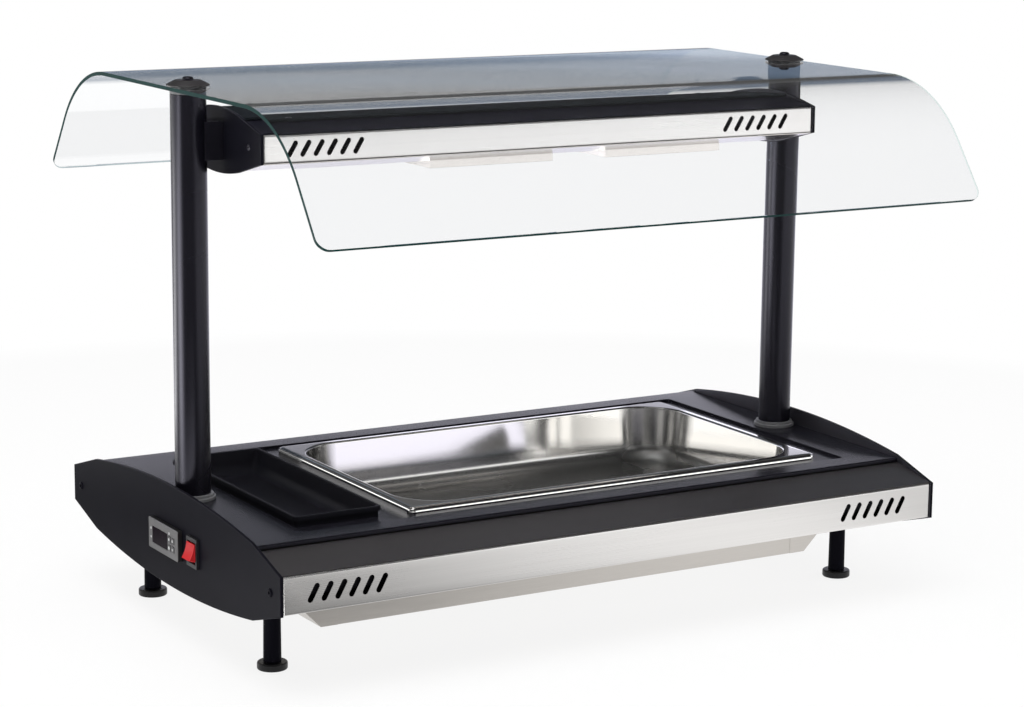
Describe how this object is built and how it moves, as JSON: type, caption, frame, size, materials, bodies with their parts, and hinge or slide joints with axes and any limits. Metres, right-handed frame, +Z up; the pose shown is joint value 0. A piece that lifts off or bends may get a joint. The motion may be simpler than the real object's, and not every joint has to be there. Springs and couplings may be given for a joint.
{
  "type": "heat lamp gantry",
  "caption": "Table-top buffet warmer with a heat lamp gantry: heated base with food pan and utensil tray, posts, a lamp housing between them and a bent glass canopy.",
  "frame": {"origin": "on the table under the middle of the base", "axes": "+X along the base to the right as seen from the front, front towards -Y, +Z up"},
  "size_m": [0.8318, 0.6886, 0.5997],
  "materials": {
    "black_coat": "black powder coat",
    "dark_coat": "satin dark grey coat",
    "brushed_stainless": "brushed lengthwise",
    "plain_stainless": "mill finish stainless",
    "polished_stainless": "polished stainless",
    "ceramic": "glazed ceramic",
    "insulation": "mineral wool slab",
    "black_plastic": "fine-grained black plastic",
    "grey_plastic": "light grey plastic rings",
    "display": "dark display window",
    "key_rubber": "soft black rubber",
    "foot_rubber": "hard black rubber",
    "red_plastic": "translucent red plastic",
    "clear_glass": "clear toughened glass",
    "lamp_glass": "quartz tube"
  },
  "bodies": {
    "warmer": {"left_end_panel": "black_coat", "right_end_panel": "black_coat", "deck_plate": "black_coat", "front_slope_panel": "dark_coat", "rear_slope_panel": "dark_coat", "front_trim_strip": "brushed_stainless", "rear_trim_strip": "brushed_stainless", "bottom_plate": "plain_stainless", "bottom_casing": "plain_stainless", "electrics_cover": "plain_stainless", "base_tie_bars": "plain_stainless", "heated_well": "black_coat", "heating_element": "plain_stainless", "element_clamps": "plain_stainless", "element_terminals": "ceramic", "insulation_slab": "insulation", "temperature_probe": "plain_stainless", "terminal_block": "ceramic", "controller_case": "black_plastic", "display_window": "display", "switch_body": "black_plastic", "panel_screws": "black_coat", "legs": "black_coat", "cable_gland": "black_plastic", "left_post": "black_coat", "right_post": "black_coat", "post_collars": "grey_plastic", "post_bolts": "plain_stainless", "deck_stiffeners": "plain_stainless", "glass_canopy": "clear_glass", "glass_gaskets": "grey_plastic", "glass_caps": "black_coat", "cap_screws": "black_coat", "lamp_top_plate": "black_coat", "lamp_front_slope": "dark_coat", "lamp_rear_slope": "dark_coat", "lamp_front_strip": "brushed_stainless", "lamp_rear_strip": "brushed_stainless", "lamp_underside": "polished_stainless", "lamp_left_cap": "black_coat", "lamp_right_cap": "black_coat", "lamp_tie_bars": "plain_stainless", "lamp_brackets": "black_coat", "left_reflector": "polished_stainless", "right_reflector": "polished_stainless", "lamp_tubes": "lamp_glass", "lamp_holders": "ceramic", "lamp_screws": "black_coat"},
    "pan": {"food_pan": "polished_stainless"},
    "tray": {"utensil_tray": "black_plastic"},
    "rocker": {"switch_rocker": "red_plastic"},
    "set_button": {"set_key": "key_rubber"},
    "up_button": {"up_key": "key_rubber"},
    "down_button": {"down_key": "key_rubber"},
    "power_button": {"power_key": "key_rubber"},
    "foot_front_left": {"front_left_foot": "foot_rubber"},
    "foot_front_right": {"front_right_foot": "foot_rubber"},
    "foot_rear_left": {"rear_left_foot": "foot_rubber"},
    "foot_rear_right": {"rear_right_foot": "foot_rubber"}
  },
  "joints": [
    {"name": "pan_lift", "type": "slide", "parent": "warmer", "child": "pan", "axis": [0, 0, 1], "range_m": [0, 0.12]},
    {"name": "tray_lift", "type": "slide", "parent": "warmer", "child": "tray", "axis": [0, 0, 1], "range_m": [0, 0.08]},
    {"name": "rocker_tilt", "type": "hinge", "parent": "warmer", "child": "rocker", "pos_m": [-0.4105, -0.0645, 0.1083], "axis": [0, -1, 0], "range_deg": [0, 36]},
    {"name": "set_press", "type": "slide", "parent": "warmer", "child": "set_button", "axis": [1, 0, 0], "range_m": [0, 0.0006], "stiffness_N_per_m": 800},
    {"name": "up_press", "type": "slide", "parent": "warmer", "child": "up_button", "axis": [1, 0, 0], "range_m": [0, 0.0006], "stiffness_N_per_m": 800},
    {"name": "down_press", "type": "slide", "parent": "warmer", "child": "down_button", "axis": [1, 0, 0], "range_m": [0, 0.0006], "stiffness_N_per_m": 800},
    {"name": "power_press", "type": "slide", "parent": "warmer", "child": "power_button", "axis": [1, 0, 0], "range_m": [0, 0.0006], "stiffness_N_per_m": 800},
    {"name": "front_left_turn", "type": "hinge", "parent": "warmer", "child": "foot_front_left", "pos_m": [-0.364, -0.156, 0], "axis": [0, 0, 1], "continuous": true},
    {"name": "front_right_turn", "type": "hinge", "parent": "warmer", "child": "foot_front_right", "pos_m": [0.364, -0.156, 0], "axis": [0, 0, 1], "continuous": true},
    {"name": "rear_left_turn", "type": "hinge", "parent": "warmer", "child": "foot_rear_left", "pos_m": [-0.364, 0.156, 0], "axis": [0, 0, 1], "continuous": true},
    {"name": "rear_right_turn", "type": "hinge", "parent": "warmer", "child": "foot_rear_right", "pos_m": [0.364, 0.156, 0], "axis": [0, 0, 1], "continuous": true}
  ]
}
